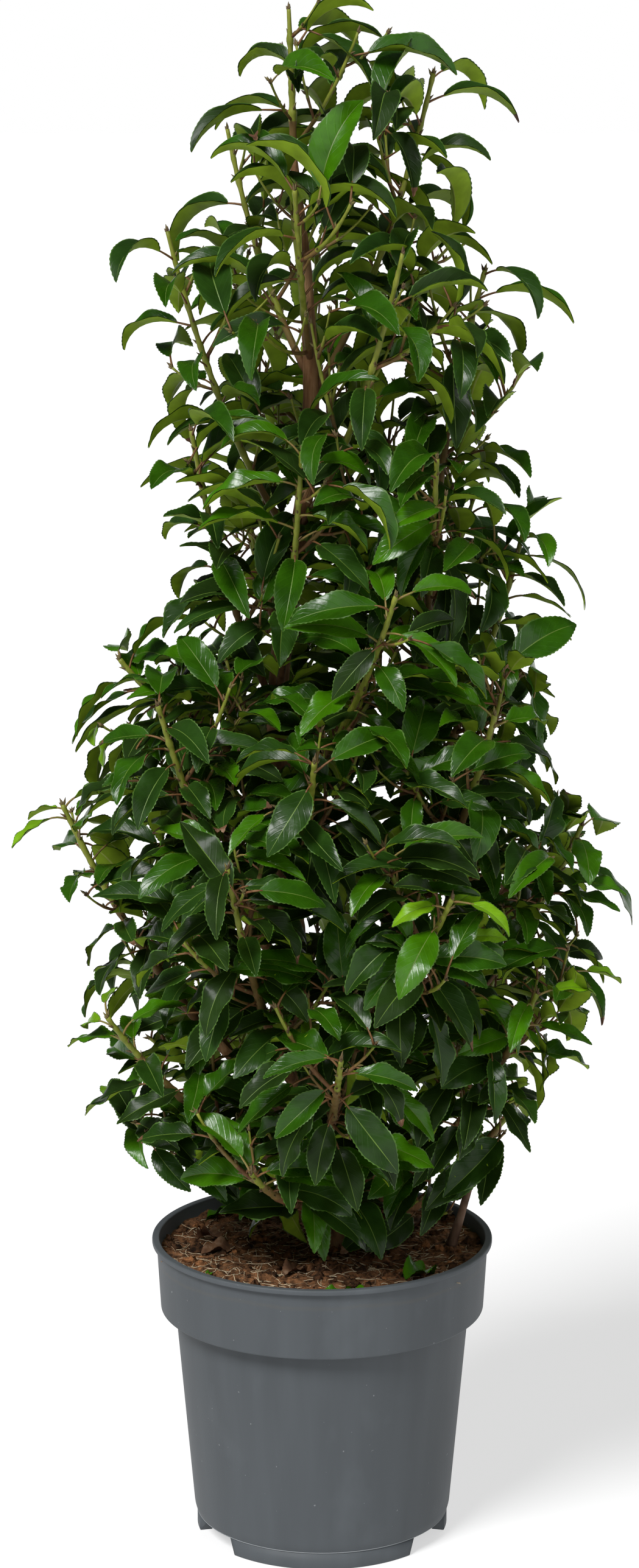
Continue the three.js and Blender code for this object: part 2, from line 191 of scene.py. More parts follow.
CROWN_FLOOR = POT_HEIGHT + 5
INNER_FLOOR = GROUND + 7  # inside the rim of the pot
INNER_RADIUS = LIP_RADIUS - 20
CROWN_TOP = 1158.0
CROWN_OUTLINE = [
    (CROWN_FLOOR, 66, 116), (262, 92, 136), (284, 122, 154), (310, 150, 178), (345, 190, 190),
    (385, 199, 212), (440, 184, 234), (485, 188, 239), (510, 232, 236), (572, 240, 230), (594, 190, 214),
    (640, 193, 199), (680, 166, 200), (720, 126, 214), (765, 116, 170), (800, 160, 198), (850, 128, 136),
    (890, 138, 184), (940, 171, 180), (980, 155, 132), (1015, 116, 122), (1050, 100, 140), (1080, 92, 149),
    (1120, 58, 118), (1140, 40, 52), (CROWN_TOP, 28, 34),
]  # height, reach to the left and reach to the right
BARE_STRETCHES = [(TRUNK, 890, 1000, 11), (PRUNED_STUB, GROUND, 275, 12)]  # stem, heights and half-width
SPRAY_REACH = (0.88, 1.02)  # how far a spray goes, against the reach of the crown there
TWIG_REACH = 0.87
SPACE_SLACK = 24.0  # how far a leaf may reach into the space of the next spray

# Sizes of a leaf

LEAF_LENGTH = 59.0
LEAF_WIDTH = 25.0
YOUNG_SIZE = 0.6
PETIOLE_LENGTH = 13.0
PETIOLE_RADII = np.linspace(0.95, 0.65, 5)
PETIOLE_END = 2.5  # how far it runs on under the blade
KNEE_SHARE = 0.6
LEAF_TRIES = 8
LAST_LEAF = 0.985  # share of a limb where its last leaf stands
LEAF_SLANT = (70, 48)  # at the foot and at the tip of a limb
FACE_AHEAD = 0.3  # how far a blade's upper side leans along its shoot
STEEPEST = 88  # slope of a blade's tip
LEAST_BEND = 0.2
SPREAD = {"slant": 10, "face": 0.35, "dip": 15, "bend": 24, "fold": 14, "sweep": 0.38, "twist": 0.42}
RANGE = {
    "petiole": (0.8, 1.25), "size": (0.74, 1.1), "width": (0.88, 1.12), "curl": (0.06, 0.26),
    "wave": (0.25, 1.1),
}
DRY_SHARE = 0.04
LEAF_STANCE = [
    (CROWN_FLOOR, 0.14, 9.0, 0.65, 30, 42, 24, 1.0, 0.26),
    (700, 0.08, 8.4, 0.5, 26, 52, 28, 1.0, 0.22),
    (860, 0.25, 10.0, 0.3, 15, 64, 36, 1.08, 0.14),
    (980, 0.35, 14.0, 0.12, 6, 76, 44, 1.2, 0.1),
]  # height, bare share of a limb, spacing, lean from the crown's axis, dip, bend, fold, size and wave
LEAF_CELLS = 9  # along the blade
CELL_TEETH = 2  # on each side of a cell
CELL_STEPS = CELL_TEETH * 2
LEAF_STEPS = LEAF_CELLS * CELL_STEPS
UPPER_COLUMNS = np.array([-0.965, -0.5, -0.028, -0.028, 0.028, 0.028, 0.5, 0.965])  # twice at a crease
LOWER_COLUMNS = np.array([-0.985, -0.06, 0.06, 0.985])
TEST_ROWS = [round(LEAF_STEPS * share) for share in (0.25, 0.5, 0.75, 1.0)]
TEST_COLUMNS = (-0.85, 0.0, 0.85)
BLADE_TAPER = (0.76, 0.98)  # powers of its outline at the base and at the tip
LEAST_BLADE = (0.06, 0.02)  # half-width there, against its widest
BEND_POWER = 1.2
FOLD_RISE = 1.1
TOOTH_HEIGHT = 0.7
BLADE_THICKNESS = 0.45
RIB_DEPTH = 0.9
EDGE_WAVES = 2.3
WAVE_POWER = 1.5
WAVE_SHIFT = 1.3  # from the rib to an edge
LEAF_CLEARANCE = 5.0
LIMB_CLEARANCE = 2.5
LIMB_STEP = 5

# Greens of a spray's leaves, from the oldest to the youngest

TINTS = ("dull", "dark", "mid", "fresh", "young")
TINT_LIMITS = (0.09, 0.36, 0.75)  # shares of sprays that are young, up to fresh and up to mid at their tips
AGE_START = 0.9
AGE_ALONG = 3.2  # steps of green from the tip of a spray to its foot
AGE_YOUNG = 4
AGE_AND_SHADE_HIGH = ((850, 950), (0, 1.05))  # steps of darker green at the heights of the top: partly the older green there, partly painted shade
AGE_SPREAD = 0.75
LEAF_PAINTS = TINTS + ("rib", "edge", "underside", "lower_rib", "dry")
RIB, EDGE, UNDERSIDE, LOWER_RIB, DRY = range(len(TINTS), len(LEAF_PAINTS))
BLADE = 0


# Numbers and directions


class Seeded:
    """Random numbers from 0 to 1 by the solids' own 32-bit steps."""

    MASK = 0xFFFFFFFF

    def __init__(self, seed):
        self.state = seed

    def __call__(self):
        mask = self.MASK
        self.state = (self.state + 0x6D2B79F5) & mask
        mixed = ((self.state ^ (self.state >> 15)) * (1 | self.state)) & mask
        mixed = ((mixed + (mixed ^ (mixed >> 7)) * (61 | mixed)) & mask) ^ mixed
        return ((mixed ^ (mixed >> 14)) & mask) / 2**32

    def spread(self, width):
        return (self() - 0.5) * 2 * width

    def between(self, low, high):
        return mix(low, high, self())


def mix(low, high, share):
    return low + (high - low) * share


def unit(vectors):
    return vectors / np.linalg.norm(vectors, axis=-1, keepdims=True)


def side_of(direction):
    side = np.cross(direction, UP)
    if np.linalg.norm(side) < 1e-3:
        return np.array([0.0, 1.0, 0.0])
    return unit(side)


def turned_aside(tangent, azimuth, angle):
    side = side_of(tangent)
    over = np.cross(side, tangent)
    out = side * math.cos(azimuth) + over * math.sin(azimuth)
    return unit(tangent * math.cos(angle) + out * math.sin(angle))


# Lines of limbs


def bezier(start, bend, end):
    """A line that turns once, as a function of the share of the way along it."""

    def line(along):
        t = np.asarray(along, float)[..., None]
        return (1 - t) ** 2 * start + 2 * t * (1 - t) * bend + t * t * end

    return line


def course_line(course):
    """A smooth line through the rows of height, x and y of a stem's course (centripetal Catmull-Rom)."""
    points = np.array([(x, y, z) for z, x, y in course], float)
    before = 2 * points[0] - points[1]
    after = 2 * points[-1] - points[-2]
    knots = np.vstack([before, points, after])
    steps = np.sqrt(np.linalg.norm(np.diff(knots, axis=0), axis=1))[:, None]
    pieces = len(points) - 1

    def line(along):
        place = np.asarray(along, float) * pieces
        i = np.minimum(place.astype(int), pieces - 1)
        t = (place - i)[..., None]
        p0, p1, p2, p3 = (knots[i + k] for k in range(4))
        d0, d1, d2 = (steps[i + k] for k in range(3))
        leave = ((p1 - p0) / d0 - (p2 - p0) / (d0 + d1) + (p2 - p1) / d1) * d1
        arrive = ((p2 - p1) / d1 - (p3 - p1) / (d1 + d2) + (p3 - p2) / d2) * d1
        square = -3 * p1 + 3 * p2 - 2 * leave - arrive
        cube = 2 * p1 - 2 * p2 + leave + arrive
        return p1 + leave * t + square * t**2 + cube * t**3

    return line


class Limb:
    """A round limb: its line from foot to tip and its radius.

    Its leaves keep to its reach and begin with its tint, and stand with its twigs at the joints.
    """

    def __init__(self, line, radius, span=(0.0, 1.0), flare=(0.0, 1.0)):
        self.line = line
        self.radius = radius
        self.span = span
        self.flare = flare
        self.tint = 0
        self.reach = 1.0
        self.joints = []

    def point(self, along):
        return self.line(mix(*self.span, np.asarray(along, float)))

    def tangent(self, along):
        ahead = self.point(min(along + 0.01, 1.0))
        behind = self.point(max(along - 0.01, 0.0))
        return unit(ahead - behind)

    def radius_at(self, along):
        width, height = self.flare
        rise = self.point(along)[..., 2] - self.point(0.0)[2]
        return mix(*self.radius, along) + width * np.exp(-rise / height)

    def length(self):
        return np.linalg.norm(np.diff(self.point(np.linspace(0, 1, 9)), axis=0), axis=1).sum()

    def point_at_height(self, height):
        shares = np.linspace(0, 1, 2001)
        heights = self.point(shares)[:, 2]
        return self.point(np.interp(height, heights, shares))


# Crown layout, as in the solids


class Shoot:
    """A leading shoot: the node of its mass, the stem it springs from, and its limbs by kind."""

    def __init__(self, tier, name, line, parent, seed, on_bough):
        start, foot = (BOUGH_SHARE, BOUGH_RADIUS[1]) if on_bough else (0.0, SHOOT_RADIUS[0])
        self.tier = tier
        self.node = f"foliage_{name}"
        self.bough_node = f"bough_{name}"
        self.parent = parent
        self.seed = seed
        self.stem = Limb(line, (foot, SHOOT_RADIUS[1]), (start, 1.0))
        self.bough = Limb(line, BOUGH_RADIUS, (0.0, BOUGH_SHARE)) if on_bough else None
        self.centre = self.stem.point(SHOOT_CENTRE)
        self.limbs = {"shoots": [self.stem]}


def shoot_line(fork, tip, out):
    return bezier(fork, mix(fork, tip, np.array([out, out, SHOOT_RISE])), tip)


def parent_of(azimuth, height):
    on_right = math.cos(math.radians(azimuth)) > RIGHTWARD
    return "right_stem" if on_right and height < RIGHT_STEM[-1][0] else "trunk"


def lay_out_shoots(stems):
    shoots = []
    for tier in UPPER_TIERS + LOWER_TIERS:
        name, tip_height, fall, reach, fork_height, azimuths = tier
        for i, azimuth in enumerate(azimuths):
            angle = math.radians(azimuth)
            height = fork_height + (i - (len(azimuths) - 1) / 2) * FORK_STEP
            parent = stems[parent_of(azimuth, height)]
            tip = np.array([reach * math.cos(angle), reach * math.sin(angle), tip_height - i * fall])
            line = shoot_line(parent.point_at_height(height), tip, SHOOT_BEND)
            side = SIDE_NAMES[round(azimuth / SIDE_ANGLE) % len(SIDE_NAMES)]
            seed = SEED + len(shoots)
            shoots.append(Shoot(name, f"{name}_{side}", line, parent, seed, tier in LOWER_TIERS))
    for name, stem, tip in LEADERS:
        line = shoot_line(stems[stem].point(1.0), np.array(tip, float), 0.0)
        shoots.append(Shoot(name, name, line, stems[stem], SEED + len(shoots), False))
    return shoots


# Twigs


def grow_twigs(limb, kind, random):
    """Twigs that stand round a limb, each turned on by the golden angle, and lift towards the light."""
    count, stretch, longest, slant, lift, radius = kind
    phase = random() * FULL_TURN
    twigs = []
    for i in range(count):
        along = mix(*stretch, i / (count - 1))
        start = limb.point(along)
        angle = math.radians(slant + random.spread(SLANT_SPREAD))
        heading = turned_aside(limb.tangent(along), phase + i * GOLDEN_ANGLE, angle)
        length = longest * mix(1, LAST_TWIG, along)
        bend = start + heading * length * TWIG_BEND
        tip = start + heading * length * TWIG_OUT + UP * length * lift
        twigs.append(Limb(bezier(start, bend, tip), radius))
        limb.joints.append(along)
    return twigs


def grow_limbs(shoot, centres):
    """The twigs of a shoot, then finer ones on them, where they keep to the shoot's space."""
    random = Seeded(shoot.seed)
    twigs = [twig for twig in grow_twigs(shoot.stem, TWIG, random) if keeps_inside(twig, shoot, centres)]
    finer = grow_twigs(shoot.stem, SPUR, random)
    for twig in twigs:
        finer += grow_twigs(twig, SIDE_TWIG, random)
    if shoot.bough:
        finer += grow_twigs(shoot.bough, BOUGH_SPUR, random)
    if shoot.tier == "skirt":
        finer += grow_twigs(shoot.parent, FOOT_SPUR, random)
    shoot.limbs["twigs"] = twigs
    shoot.limbs["fine_twigs"] = [twig for twig in finer if keeps_inside(twig, shoot, centres)]
    for limb in sum(shoot.limbs.values(), []):
        limb.tint = tint_of(random)
        limb.reach = random.between(*SPRAY_REACH)
    shoot.stem.reach = SPRAY_REACH[1]


def tint_of(random):
    """The green of a spray's youngest leaves."""
    share = random()
    return len(TINTS) - 1 - sum(share > limit for limit in TINT_LIMITS)


def older_tint(tint, along, height, random):
    """The green of a leaf on a spray: darker the further it stands behind the spray's tip, and darker high
    up, partly as painted shade.
    """
    age = max(0.0, AGE_START - along) * AGE_ALONG + np.interp(height, *AGE_AND_SHADE_HIGH) + random.spread(AGE_SPREAD)
    if TINTS[tint] == "young":
        age += (1 - along) * AGE_YOUNG
    return max(tint - max(round(age), 0), 0)


def crown_reach(points):
    """How far the crown reaches at the points' heights towards the sides where they lie."""
    heights, left, right = zip(*CROWN_OUTLINE)
    rightward = (1 + points[:, 0] / np.hypot(points[:, 0], points[:, 1])) / 2
    return mix(np.interp(points[:, 2], heights, left), np.interp(points[:, 2], heights, right), rightward)


def in_space(points, shoot, centres, reach):
    """Whether all points are in the crown, and nearer to the shoot's centre than to another, or nearly."""
    heights = points[:, 2]
    radii = np.hypot(points[:, 0], points[:, 1])
    floor = np.where(radii < INNER_RADIUS, INNER_FLOOR, CROWN_FLOOR)
    if np.any(heights < floor) or heights.max() > CROWN_TOP:
        return False
    if np.any(radii > crown_reach(points) * reach):
        return False
    own = np.sum((points - shoot.centre) ** 2, axis=1)
    apart = np.linalg.norm(centres - shoot.centre, axis=1)
    other = apart > 1e-6
    squares = np.sum((points[:, None] - centres[other]) ** 2, axis=2)
    beyond = (squares - own[:, None]) / (2 * apart[other])
    return beyond.min() > -SPACE_SLACK


def hides_stem(points):
    """Whether any point is in front of a stretch of stem that shows bare between the sprays."""
    x, y, z = points.T
    for stem, low, high, reach in BARE_STRETCHES:
        heights, across, _ = zip(*stem)
        beside = np.abs(x - np.interp(z, heights, across)) < reach
        if np.any(beside & (z > low) & (z < high) & (y < 0)):
            return True
    return False


def keeps_inside(limb, shoot, centres):
    return in_space(limb.point(np.array([0.5, 1.0])), shoot, centres, TWIG_REACH)


# Leaves


# A petiole from root by knee to base, the directions of the blade at its base, and the blade's form
Leaf = namedtuple(
    "Leaf", "root knee base heading face length width bend fold curl wave phase sweep twist tint dry"
)


def stance_at(height):
    heights, *stances = zip(*LEAF_STANCE)
    return [np.interp(height, heights, stance) for stance in stances]


def grow_leaf(limb, along, turn, random):
    tangent = limb.tangent(along)
    slant = math.radians(mix(*LEAF_SLANT, along) + random.spread(SPREAD["slant"]))
    heading = turned_aside(tangent, turn, slant)
    root = limb.point(along)
    lean, dip, arch, fold, scale, ripple = stance_at(root[2])[2:]
    outward = unit(root * (1, 1, 0))
    aside = np.array([random.spread(SPREAD["face"]), random.spread(SPREAD["face"]), 0.0])
    facing = UP + FACE_AHEAD * tangent + lean * outward + aside
    left = unit(np.cross(facing, heading))
    face = np.cross(heading, left)
    dip = math.radians(dip + random.spread(SPREAD["dip"]))
    ahead = heading * math.cos(dip) - face * math.sin(dip)
    petiole = PETIOLE_LENGTH * random.between(*RANGE["petiole"])
    knee = root + heading * (petiole * KNEE_SHARE + limb.radius_at(along))
    tint = older_tint(limb.tint, along, root[2], random)
    size = scale * random.between(*RANGE["size"]) * (YOUNG_SIZE if TINTS[tint] == "young" else 1)
    pitch = math.asin(np.clip(ahead[2], -1, 1))
    bend = min(math.radians(arch + random.spread(SPREAD["bend"])), pitch + math.radians(STEEPEST))
    return Leaf(
        root=root,
        knee=knee,
        base=knee + ahead * petiole * (1 - KNEE_SHARE),
        heading=ahead,
        face=np.cross(ahead, left),
        length=LEAF_LENGTH * size,
        width=LEAF_WIDTH * size * random.between(*RANGE["width"]),
        bend=max(bend, LEAST_BEND),
        fold=math.radians(fold + random.spread(SPREAD["fold"])),
        curl=random.between(*RANGE["curl"]),
        wave=ripple * random.between(*RANGE["wave"]),
        phase=random(),
        sweep=random.spread(SPREAD["sweep"]),
        twist=random.spread(SPREAD["twist"]),
        tint=tint,
        dry=random() < DRY_SHARE,
    )


def gather(leaves, field):
    return np.array([getattr(leaf, field) for leaf in leaves], float)


def gather_all(leaves, *fields):
    return [gather(leaves, field)[:, None, None] for field in fields]


def blade_outline(share):
    """Half-width of a blade, against its widest, from its base to its drawn-out tip."""
    base, tip = BLADE_TAPER
    widest = base / (base + tip)
    full = widest**base * (1 - widest) ** tip
    shape = share**base * (1 - share) ** tip / full
    return np.maximum(shape, mix(*LEAST_BLADE, share))


def blade_points(leaves, rows, columns, teeth=0.0, sink=0.0):
    """Places on the blades (leaf, row, column) at steps along them and shares of their half-width."""
    heading, face = gather(leaves, "heading")[:, None], gather(leaves, "face")[:, None]
    left = np.cross(face, heading)
    bend, sweep, twist = gather_all(leaves, "bend", "sweep", "twist")
    fold, curl, wave, phase = gather_all(leaves, "fold", "curl", "wave", "phase")

    def direction(share):
        share = share[None, :, None]
        down = bend * share**BEND_POWER
        level = heading * np.cos(sweep * share) + left * np.sin(sweep * share)
        return level * np.cos(down) - face * np.sin(down), level * np.sin(down) + face * np.cos(down)

    steps = np.arange(LEAF_STEPS) / LEAF_STEPS
    ahead, _ = direction(steps + 0.5 / LEAF_STEPS)
    moves = ahead * (gather(leaves, "length") / LEAF_STEPS)[:, None, None]
    start = gather(leaves, "base")[:, None]
    spine = np.concatenate([start, start + np.cumsum(moves, axis=1)], axis=1)[:, rows]

    share = np.asarray(rows) / LEAF_STEPS
    along, normal = direction(share)
    across = np.cross(normal, along)
    roll = twist * share[None, :, None]
    rolled = across * np.cos(roll) + normal * np.sin(roll)
    raised = normal * np.cos(roll) - across * np.sin(roll)

    half = (gather(leaves, "width")[:, None] / 2 * blade_outline(share))[..., None]
    u = np.asarray(columns, float)[None, None, :]
    ripple = np.sin(FULL_TURN * (EDGE_WAVES * share[None, :, None] + phase) + WAVE_SHIFT * np.sign(u))
    rise = np.sin(fold) * np.abs(u) * FOLD_RISE - curl * u**2 + wave * np.abs(u) ** WAVE_POWER * ripple
    rise = half * rise - sink
    aside = half * u * np.cos(fold) + np.sign(u) * np.reshape(teeth, (1, -1, 1))
    return spine[:, :, None] + aside[..., None] * rolled[:, :, None] + rise[..., None] * raised[:, :, None]


class Room:
    """The places that limbs and leaves take up, kept in cells so that a new leaf finds its neighbours."""

    CELL = 12.0

    def __init__(self):
        self.cells = {}

    def keys(self, points):
        return [tuple(key) for key in np.floor(points / self.CELL).astype(int)]

    def add(self, points, reach):
        for key, point in zip(self.keys(points), points):
            self.cells.setdefault(key, []).append((*point, reach))

    def is_free(self, points):
        for key, (x, y, z) in zip(self.keys(points), points):
            for near in self.around(*key):
                for px, py, pz, reach in self.cells.get(near, ()):
                    if (px - x) ** 2 + (py - y) ** 2 + (pz - z) ** 2 < reach * reach:
                        return False
        return True

    @staticmethod
    def around(i, j, k):
        return product((i - 1, i, i + 1), (j - 1, j, j + 1), (k - 1, k, k + 1))


def grow_leaves(limb, shoot, centres, room, random):
    """Leaves along a limb from its tip down, each turned on by the golden angle, where there is room."""
    bare, spacing = stance_at(limb.point(1.0)[2])[:2]
    count = max(2, round(limb.length() * (1 - bare) / spacing))
    phase = random() * FULL_TURN
    leaves = []
    for i in range(count):
        along = mix(LAST_LEAF, bare, i / (count - 1))
        for attempt in range(LEAF_TRIES):
            turn = phase + i * GOLDEN_ANGLE + attempt * FULL_TURN / LEAF_TRIES
            leaf = grow_leaf(limb, along, turn, random)
            points = blade_points([leaf], TEST_ROWS, TEST_COLUMNS).reshape(-1, 3)
            inside = in_space(points, shoot, centres, limb.reach) and not hides_stem(points)
            if inside and room.is_free(points):
                room.add(points, LEAF_CLEARANCE)
                limb.joints.append(along)
                leaves.append(leaf)
                break
    return leaves


def fill_room(room, limb):
    """Marks a limb's line, so that no leaf cuts through it."""
    count = int(limb.length() / LIMB_STEP) + 2
    for along in np.linspace(0, 1, count):
        room.add(limb.point(along)[None], limb.radius_at(along) + LIMB_CLEARANCE)


def grow_crown(shoots, stems):
    """All leaves, listed by shoot: those on leading shoots first, then on twigs, then on the finest."""
    centres = np.array([shoot.centre for shoot in shoots])
    room = Room()
    for shoot in shoots:
        grow_limbs(shoot, centres)
    limbs = list(stems.values())
    for shoot in shoots:
        limbs += sum(shoot.limbs.values(), [shoot.bough] if shoot.bough else [])
    for limb in limbs:
        fill_room(room, limb)
    leaves = {shoot.node: [] for shoot in shoots}
    for order, kind in enumerate(TWIG_MESHES):
        for shoot in shoots:
            random = Seeded(shoot.seed * 10 + order)
            for limb in shoot.limbs[kind]:
                leaves[shoot.node] += grow_leaves(limb, shoot, centres, room, random)
    return leaves


# Materials


class Nodes:
    """The nodes of a material or of the world, with short ways to add and join them."""

    def __init__(self, owner):
        owner.use_nodes = True
        self.nodes = owner.node_tree.nodes
        self.links = owner.node_tree.links

    def put(self, value, socket):
        """Joins a socket to an output, or sets it to a number, a vector or a colour."""
        if isinstance(value, bpy.types.NodeSocket):
            self.links.new(value, socket)
        elif socket.type == "RGBA":
            socket.default_value = (*value, 1.0)
        else:
            socket.default_value = value

    def node(self, kind, inputs=None, **settings):
        made = self.nodes.new(kind)
        for key, value in settings.items():
            setattr(made, key, value)
        for key, value in (inputs or {}).items():
            self.put(value, made.inputs[key])
        return made

    def place(self, kind):
        return self.node("ShaderNodeTexCoord").outputs[kind]

    def parts(self, vector):
        return self.node("ShaderNodeSeparateXYZ", {0: vector}).outputs

    def noise(self, scale, detail=4.0, stretch=(1, 1, 1)):
        mapping = self.node("ShaderNodeMapping", {"Vector": self.place("Object"), "Scale": stretch})
        inputs = {"Vector": mapping.outputs["Vector"], "Scale": scale, "Detail": detail}
        return self.node("ShaderNodeTexNoise", inputs).outputs["Fac"]

    def math(self, operation, *values):
        return self.node("ShaderNodeMath", dict(enumerate(values)), operation=operation).outputs[0]

    def ridge(self, offset, sharpness):
        """1 where the offset is 0, falling to 0 on both sides."""
        slope = self.math("MULTIPLY", self.math("ABSOLUTE", offset), sharpness)
        return self.math("SUBTRACT", 1.0, self.math("MINIMUM", slope, 1.0))

    def ramp(self, factor, *stops):
        made = self.node("ShaderNodeValToRGB", {"Fac": factor})
        elements = made.color_ramp.elements
        while len(elements) < len(stops):
            elements.new(0.5)
        for element, (position, colour) in zip(elements, stops):
            element.position = position
            element.color = (*colour, 1.0)
        return made.outputs["Color"]

    def blend(self, factor, low, high):
        return self.node("ShaderNodeMix", {"Factor": factor, 6: low, 7: high}, data_type="RGBA").outputs[2]


class Material(Nodes):
    """A material of one colour, roughness and gloss, until detail is put in their place."""

    def __init__(self, name, colour, roughness, gloss):
        self.data = bpy.data.materials.new(name)
        super().__init__(self.data)
        self.normal = None
        self.set("Base Color", colour)
        self.set("Roughness", roughness)
        self.set("Specular IOR Level", gloss)

    def set(self, key, value):
        self.put(value, self.nodes["Principled BSDF"].inputs[key])

    def roughen(self, factor, low, high):
        made = self.node("ShaderNodeMapRange", {"Value": factor, "To Min": low, "To Max": high})
        self.set("Roughness", made.outputs["Result"])

    def bump(self, height, strength, distance):
        inputs = {"Height": height, "Strength": strength, "Distance": distance}
        if self.normal:
            inputs["Normal"] = self.normal
        self.normal = self.node("ShaderNodeBump", inputs).outputs["Normal"]
        self.set("Normal", self.normal)


def shade(colour, factor):
    return tuple(channel * factor for channel in colour)


def grey(value):
    return (value, value, value)


def leaf_top(name, colour, roughness, gloss):
    """A glossy blade with faint side veins that run forward from the rib, and mottled green."""
    made = Material(name, colour, roughness, gloss)
    across, along, _ = made.parts(made.node("ShaderNodeUVMap", uv_map="layout").outputs["UV"])
    back = made.math("MULTIPLY", made.math("ABSOLUTE", across), 2.3)
    lean = made.math("SUBTRACT", made.math("MULTIPLY", along, 9.0), back)
    vein = made.ridge(made.math("SUBTRACT", made.math("FRACT", lean), 0.5), 7.0)
    mottle = made.noise(55.0, 3.0)
    green = made.ramp(mottle, (0.3, shade(colour, 0.72)), (0.7, shade(colour, 1.28)))
    made.set("Base Color", made.blend(made.math("MULTIPLY", vein, 0.1), green, shade(colour, 1.9)))
    made.roughen(mottle, roughness - 0.06, roughness + 0.08)
    made.bump(vein, 0.19, 0.0005)
    made.bump(made.noise(140.0, 2.0), 0.3, 0.0012)
    made.bump(made.noise(420.0, 2.0), 0.12, 0.0004)
    made.set("Coat Weight", 0.08)
    made.set("Coat Roughness", 0.2)
    return made.data


def flecked(made, grain, stops, *relief):
    """A material whose colours follow one grain, over a fine relief."""
    made.set("Base Color", made.ramp(grain, *stops))
    made.bump(*relief)
    return made.data


def leaf_plain(name, colour, roughness, gloss):
    """A matte part of a leaf: its underside, its rib, its edge."""
    made = Material(name, colour, roughness, gloss)
    stops = [(0.3, shade(colour, 0.78)), (0.7, shade(colour, 1.22))]
    return flecked(made, made.noise(70.0, 3.0), stops, made.noise(500.0, 2.0), 0.15, 0.0003)


def leaf_withered(name, dark, middle, pale):
    made = Material(name, middle, 0.75, 0.25)
    stops = [(0.3, dark), (0.55, middle), (0.75, pale)]
    return flecked(made, made.noise(140.0, 5.0), stops, made.noise(300.0, 4.0), 0.4, 0.0006)


def rind(name, low, high, roughness):
    """Young rind: smooth, flecked along its length."""
    made = Material(name, low, roughness, 0.28)
    grain, relief = made.noise(260.0, 4.0, (1, 1, 0.3)), made.noise(700.0, 3.0, (1, 1, 0.4))
    return flecked(made, grain, [(0.35, low), (0.68, high)], relief, 0.3, 0.0005)


def peat(name, dark, light):
    made = Material(name, light, 0.95, 0.15)
    stops = [(0.34, dark), (0.62, light), (0.8, shade(light, 1.9))]
    return flecked(made, made.noise(210.0, 8.0), stops, made.noise(520.0, 8.0), 0.9, 0.0022)


def bark(name, dark, middle, pale, stretch):
    """Bark in long streaks, with pale flakes and fine cracks."""
    made = Material(name, middle, 0.82, 0.25)
    streak = made.noise(150.0, 6.0, (1, 1, stretch))
    brown = made.ramp(streak, (0.32, dark), (0.52, middle), (0.72, pale))
    flakes = made.ramp(made.noise(38.0, 4.0), (0.52, grey(0)), (0.66, grey(0.6)))
    made.set("Base Color", made.blend(flakes, brown, pale))
    made.roughen(streak, 0.7, 0.92)
    made.bump(made.noise(420.0, 6.0, (1, 1, stretch)), 0.55, 0.0012)
    return made.data


def plastic(name, *colour):
    """Moulded plastic: a satin grain, faint streaks and scuffs, a water stain under the lip, pale specks."""
    made = Material(name, colour, 0.58, 0.25)
    streaks = made.noise(46.0, 5.0, (1, 1, 0.06))
    cloud = made.noise(9.0, 3.0)
    tone = made.ramp(streaks, (0.3, shade(colour, 0.9)), (0.7, shade(colour, 1.1)))
    tone = made.blend(made.math("MULTIPLY", cloud, 0.22), tone, shade(colour, 1.25))
    scuffs = made.ramp(made.noise(26.0, 7.0, (1, 1, 0.55)), (0.56, grey(0)), (0.74, grey(0.32)))
    tone = made.blend(scuffs, tone, shade(colour, 1.6))
    wander = made.math("MULTIPLY", made.noise(14.0, 3.0), 0.010)
    height = made.math("ADD", made.parts(made.place("Object"))["Z"], wander)
    line = made.ridge(made.math("SUBTRACT", height, 0.2215), 420.0)
    stain = made.math("MULTIPLY", line, made.math("MULTIPLY", made.noise(24.0, 2.0), 0.4))
    tone = made.blend(stain, tone, (0.1, 0.09, 0.07))
    specks = made.ramp(made.noise(330.0, 1.0), (0.785, grey(0)), (0.81, grey(0.5)))
    made.set("Base Color", made.blend(specks, tone, (0.3, 0.31, 0.32)))
    made.roughen(cloud, 0.5, 0.66)
    made.bump(made.noise(1000.0, 3.0), 0.22, 0.0004)
    made.bump(streaks, 0.06, 0.0006)
    return made.data


